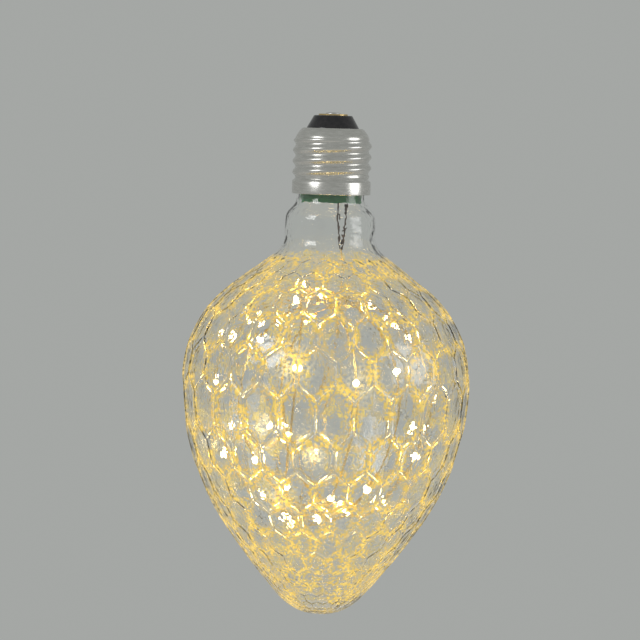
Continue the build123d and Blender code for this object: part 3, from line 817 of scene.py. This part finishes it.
string_curve, string_along = smooth_route(route)
string_length = np.linalg.norm(np.diff(string_curve, axis=0), axis=-1).sum()
print("string:", round(float(string_length), 3), "m")

# %% [markdown]
# Each strand is one thin round wire under enamel. Both are the same path, moved half their spacing to one
# side and to the other.

# %% Copper strands
strand_radius, strand_columns = 0.16 * mm, 8
strand_spacing = 0.42 * mm
run_number = np.minimum(string_along.astype(int), len(sides) - 2)
blend = np.clip(string_along - run_number, 0, 1)[:, None]
across = sides[run_number] * (1 - blend) + sides[run_number + 1] * blend
for hand, name in ((-1, "positive"), (1, "negative")):
    strand = string_curve + hand * strand_spacing / 2 * unit(across)
    piece("copper_strand_" + name, [tube(strand, across, strand_radius, strand_columns)],
          enamelled_copper, "copper_wire", "string_strand_" + name)

# %% [markdown]
# On each LED sits a drop of clear resin that was dabbed on by hand, so the drops are alike but never the
# same. Metaballs could make them, but they take no mark for the light. The chip in its middle floods a drop
# with warm white light: it looks white in the middle and golden at its ends, so its glow falls along it.

# %% Resin drops
bead_radius, bead_length = 1.28 * mm, 3.15 * mm
bead_rows, bead_columns = 13, 12
bead_room = 0.97
bead_bluntness = 0.7
lean, lean_step = 0.12, 1.7
swelling, slump, swelling_step = 0.07, 0.05, 2.3
bead_glow, bead_fading = 26.0, 1.8


def drop_grids():
    """Drops of resin as (drops, rows, columns, 3), and how near its chip each point is. The radius is the
    root of a sine along the drop, fuller towards one end, with a slow swelling round it that differs from
    drop to drop."""
    drop = np.arange(len(led_at))[:, None, None]
    share = ((1 - np.cos(np.pi * np.arange(bead_rows) / (bead_rows - 1))) / 2)[None, :, None]
    turn = even_turns(bead_columns)[None, None, :]
    fuller_end = 1 + lean * np.sin(lean_step * drop)
    swell = 1 - swelling * (1 + np.sin(2 * turn + swelling_step * drop)) + slump * np.sin(turn + drop)
    along = np.sin(np.pi * share ** fuller_end) ** bead_bluntness
    radius = (bead_radius * bead_room * swell * along)[..., None]
    ahead = headings[led_at][:, None, None]
    sideways = sides[led_at][:, None, None]
    ring = np.cos(turn)[..., None] * sideways + np.sin(turn)[..., None] * np.cross(sideways, ahead)
    middle = led_places[:, None, None] + ahead * ((share - 0.5) * bead_length)[..., None]
    grids = middle + radius * ring
    return grids, np.broadcast_to(1 - np.abs(2 * share - 1), grids.shape[:-1])


glowing_resin = finish("glowing_resin", (1.0, 0.86, 0.55), (1.0, 0.93, 0.72), grain=0.8 * mm,
                       roughness=(0.05, 0.2), bump=0.05 * mm, IOR=1.5, Emission_Color=(1.0, 0.76, 0.34, 1))
resin_tree = glowing_resin.node_tree
resin = resin_tree.nodes["Principled BSDF"]
faded = maths(resin_tree, "POWER", attribute(resin_tree, "near_chip"), bead_fading)
resin_tree.links.new(maths(resin_tree, "MULTIPLY", faded, bead_glow), resin.inputs["Emission Strength"])
drops, near_chip = drop_grids()
piece("resin_drops", list(drops), glowing_resin, "clear_resin", "resin_beads", near_chip=near_chip)
print("drops:", len(drops))

# %% [markdown]
# The string hangs from two insulated leads. They leave the lower edge of the driver's board side by side,
# draw together as they come down the neck, and end at the strands. They are tubes along the same four
# points as the solids.

# %% Leads
lead_radius, lead_columns = 0.3 * mm, 10
lead_side, lead_spread = 3.9 * mm, 2.65 * mm
lead_end_spread = 0.7 * mm
lead_straight = 5.2 * mm
lead_early = 0.65
joint_gap = 0.05 * mm
board_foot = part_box("driver_board")[0][2]
straight_foot = board_foot - lead_straight
for hand, name in ((-1, "positive"), (1, "negative")):
    start = lead_side + hand * lead_spread / 2
    end = joint[0] + hand * lead_end_spread / 2
    middle = start + (end - start) * lead_early
    lead_route = np.array([(start, 0, board_foot), (start, 0, straight_foot),
                           (middle, 0, (straight_foot + joint[2]) / 2), (end, 0, joint[2] + joint_gap)])
    lead_curve = smooth_route(lead_route)[0]
    lead_across = np.broadcast_to((0.0, 1.0, 0.0), lead_curve.shape)
    piece("insulated_lead_" + name, [tube(lead_curve, lead_across, lead_radius, lead_columns)],
          lead_sleeve, "lead_insulation", "string_lead_" + name)

# %% [markdown]
# The far end of the string is closed with a small blunt drop of the same resin, so that the two strands
# can't touch. It is a profile, a root of a sine, carried round the last run.

# %% End of the string
end_radius, end_length = 0.68 * mm, 2.2 * mm
end_bluntness = 0.6
end_rows, end_columns = 9, 12
end_share = np.linspace(0, 1, end_rows)[:, None, None]
end_reach = end_radius * np.sin(np.pi * end_share) ** end_bluntness
end_reach[[0, -1]] = 0
end_turn = even_turns(end_columns)[None, :, None]
end_ring = np.cos(end_turn) * sides[-1] + np.sin(end_turn) * np.cross(sides[-1], headings[-1])
end_grid = route[-1] + end_length * end_share * headings[-1] + end_reach * end_ring
piece("end_drop", [end_grid], glowing_resin, "clear_resin", "string_end")

# %% [markdown]
# The cap is a thin shell, drawn from plated sheet and rolled, so its thread is a round wave rather than a cut
# V. A screw modifier would give a thread that stops short at both ends, where a rolled one fades out. The
# wave is the cosine of the height, in pitches, less the turn round the axis, which makes it right-handed.

# %% Rolled thread
cap_length = -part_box("screw_shell")[0][2]
skirt_length = 5.0 * mm
thread_core, thread_height, thread_pitch = 12.15 * mm, 0.93 * mm, 3.629 * mm
thread_top, thread_foot = -8.2 * mm, skirt_length - cap_length
thread_fade = 0.45 * thread_pitch
thread_rows, cap_columns = 96, 144
cap_turns = even_turns(cap_columns)


def thread_grid(inset):
    """Wall with the rolled thread. Its radius is the core's plus a raised cosine that fades out at both
    ends."""
    height = np.linspace(thread_top, thread_foot, thread_rows)[:, None]
    wave = (1 + np.cos(2 * np.pi * height / thread_pitch - cap_turns)) / 2
    from_end = np.clip(np.minimum(thread_top - height, height - thread_foot) / thread_fade, 0, 1)
    fade = from_end ** 2 * (3 - 2 * from_end)
    radius = thread_core - inset + thread_height * fade * wave
    return np.stack([radius * np.cos(cap_turns), radius * np.sin(cap_turns), height + 0 * radius], axis=-1)


print("thread turns:", round((thread_top - thread_foot) / thread_pitch, 2))

# %% [markdown]
# Above the thread the shell closes in over the insulator, and below it a plain skirt ends in a rim with a
# broken edge. The inside repeats the outside one wall further in, so that the shell has its real thickness.

# %% Screw cap
skirt_radius = 13.05 * mm
shell_wall = 0.3 * mm
rim_break = 0.1 * mm
crown = np.array([(8.8, -5.2), (9.9, -5.25), (10.4, -5.6), (11.5, -7.0), (12.0, -7.9)]) * mm
skirt_bend = np.array([(12.2, -0.1), (12.9, -0.7)]) * mm + (0, thread_foot)
skirt_wall = [(skirt_radius, thread_foot - 1.1 * mm), (skirt_radius, rim_break - cap_length)]
rim = [(skirt_radius - rim_break, -cap_length), (skirt_radius - shell_wall, -cap_length),
       (skirt_radius - shell_wall, rim_break - cap_length)]
outer_skirt = np.concatenate([skirt_bend, skirt_wall])
outer_wall = np.concatenate([turned_grid(crown, cap_turns), thread_grid(0.0),
                             turned_grid(np.concatenate([outer_skirt, rim[:1]]), cap_turns)])
inner_wall = np.concatenate([turned_grid(crown - (0, shell_wall), cap_turns), thread_grid(shell_wall),
                             turned_grid(outer_skirt - (shell_wall, 0), cap_turns)])[::-1]
crown_lip = turned_grid([crown[0] - (0, shell_wall), crown[0]], cap_turns)
piece("threaded_cap", [outer_wall, turned_grid(rim, cap_turns), inner_wall, crown_lip], plated_steel,
      "plated_shell", "screw_shell")

# %% [markdown]
# The small parts of the cap were turned, pressed or moulded round the same axis, so each is a profile carried
# round it: the black bead between shell and contact, the brass eyelet, and the cement that fills the gap
# between glass and skirt. Their corners are slightly broken, so that they catch the light.

# %% Insulator, contact and cement
round_columns = 96


def round_part(name, profile, material, slot, node):
    """Closed profile in millimetres, outside downwards, carried round the axis."""
    profile = np.array(profile + profile[:1]) * mm
    piece(name, [turned_grid(profile, even_turns(round_columns))], material, slot, node)


bead_profile = [(1.65, -1.0), (6.1, -1.0), (6.4, -1.15), (7.4, -2.9), (8.45, -4.75), (8.74, -5.3),
                (8.74, -5.55), (10.3, -5.95), (11.55, -7.9), (1.65, -7.9)]
eyelet_profile = [(0.5, -0.5), (4.6, -0.5), (4.85, -0.6), (4.85, -0.98), (1.6, -1.0), (1.6, -3.4),
                  (0.5, -3.4)]
cement_profile = [(11.7, -23.3), (12.65, -23.3), (12.65, -26.8), (12.3, -27.0), (11.7, -26.9)]
round_part("insulator", bead_profile, black_glass, "black_insulator", "cap_insulator")
round_part("brass_contact", eyelet_profile, contact_brass, "contact_brass", "centre_contact")

# %% [markdown]
# The upper lead of the driver ends in a low drop of solder on the eyelet. Solder wets the brass, so it runs
# out thin at its edge, which the third power of the way outwards gives.

# %% Solder of the contact
solder_radius, solder_height = 2.55 * mm, 0.5 * mm
solder_rows, solder_columns = 8, 48
solder_share = np.linspace(0, 1, solder_rows)
solder_dome = np.stack([solder_radius * np.sin(solder_share * np.pi / 2), -solder_height * solder_share ** 3],
                       axis=-1)
solder_profile = np.concatenate([solder_dome, [(0, -solder_height)]])
piece("contact_tip", [turned_grid(solder_profile, even_turns(solder_columns))], soft_solder, "solder",
      "contact_solder")
round_part("cement_ring", cement_profile, baked_cement, "neck_cement", "neck_cement")

# %% [markdown]
# The driver stays as the frame has it: a board with its few parts, seen only where it looks out of the cap
# into the neck. New meshes would add nothing there, so its solids keep their shape and get their finishes.

# %% Finishes of the driver
driver_finishes = {
    "driver_board": green_laminate,
    "fusible_resistor": resistor_coat,
    "smoothing_capacitor": capacitor_sleeve,
    "choke_core": pressed_ferrite,
    "choke_winding": wound_copper,
    "bridge_rectifier": moulded_epoxy,
    "driver_chip": moulded_epoxy,
    "sense_resistor": resistor_coat,
    "neutral_lead": lead_sleeve,
    "shell_solder": soft_solder,
    "led_chips": lit_chip,
}
for name, material in driver_finishes.items():
    nodes[name].data.materials.clear()
    nodes[name].data.materials.append(material)
print("driver parts with a finish:", len(driver_finishes))
